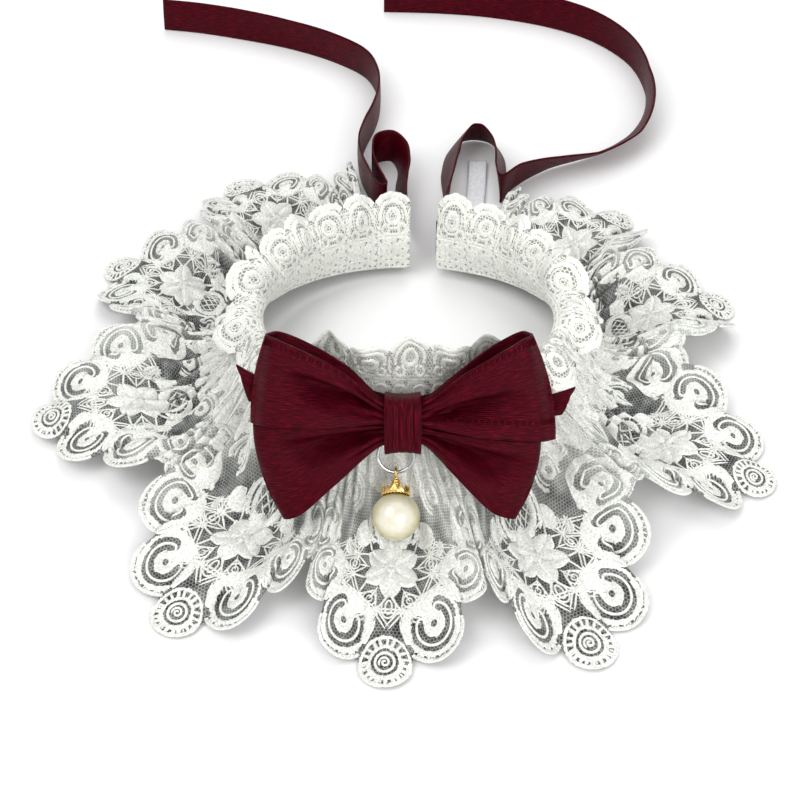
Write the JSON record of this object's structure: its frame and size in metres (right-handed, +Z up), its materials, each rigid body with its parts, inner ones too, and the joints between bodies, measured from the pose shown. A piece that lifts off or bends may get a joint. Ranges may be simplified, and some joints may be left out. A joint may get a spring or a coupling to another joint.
{
  "type": "lace pet bib collar with bow and pendant",
  "caption": "Gathered lace bib collar for a small pet, with a standing frill, a satin bow, ribbon ties and a hanging bead pendant.",
  "frame": {"origin": "on the surface the collar lies on, under the middle of the footprint of everything but the two free ties", "axes": "+Z up from the surface; the bow is at the front, towards -Y, and the neck opens at the back, towards +Y; +X is to the right of someone facing the bow"},
  "size_m": [0.1754, 0.27, 0.0518],
  "materials": {
    "lace": "embroidered net lace, matt",
    "satin": "fine woven satin ribbon",
    "white_satin": "plain satin tape",
    "silver": "bright",
    "gold": "bright gilt",
    "pearl": "pearl lustre"
  },
  "bodies": {
    "collar": {"flounce": "lace", "neck_frill": "lace", "ribbon_band": "satin", "bow_upper_left": "satin", "bow_upper_right": "satin", "bow_lower_left": "satin", "bow_lower_right": "satin", "bow_knot": "satin", "satin_tab": "white_satin", "tie_left": "satin", "tie_right": "satin"},
    "ring": {"jump_ring": "silver"},
    "bead": {"bead_cap": "gold", "pearl": "pearl"}
  },
  "joints": [
    {"name": "ring_swing", "type": "hinge", "parent": "collar", "child": "ring", "pos_m": [-0.00048, -0.04501, 0.02414], "axis": [-1, 0, 0], "range_deg": [0, 30]},
    {"name": "bead_swing", "type": "hinge", "parent": "ring", "child": "bead", "pos_m": [-0.00048, -0.04767, 0.01843], "axis": [-1, 0, 0], "range_deg": [0, 50]}
  ]
}
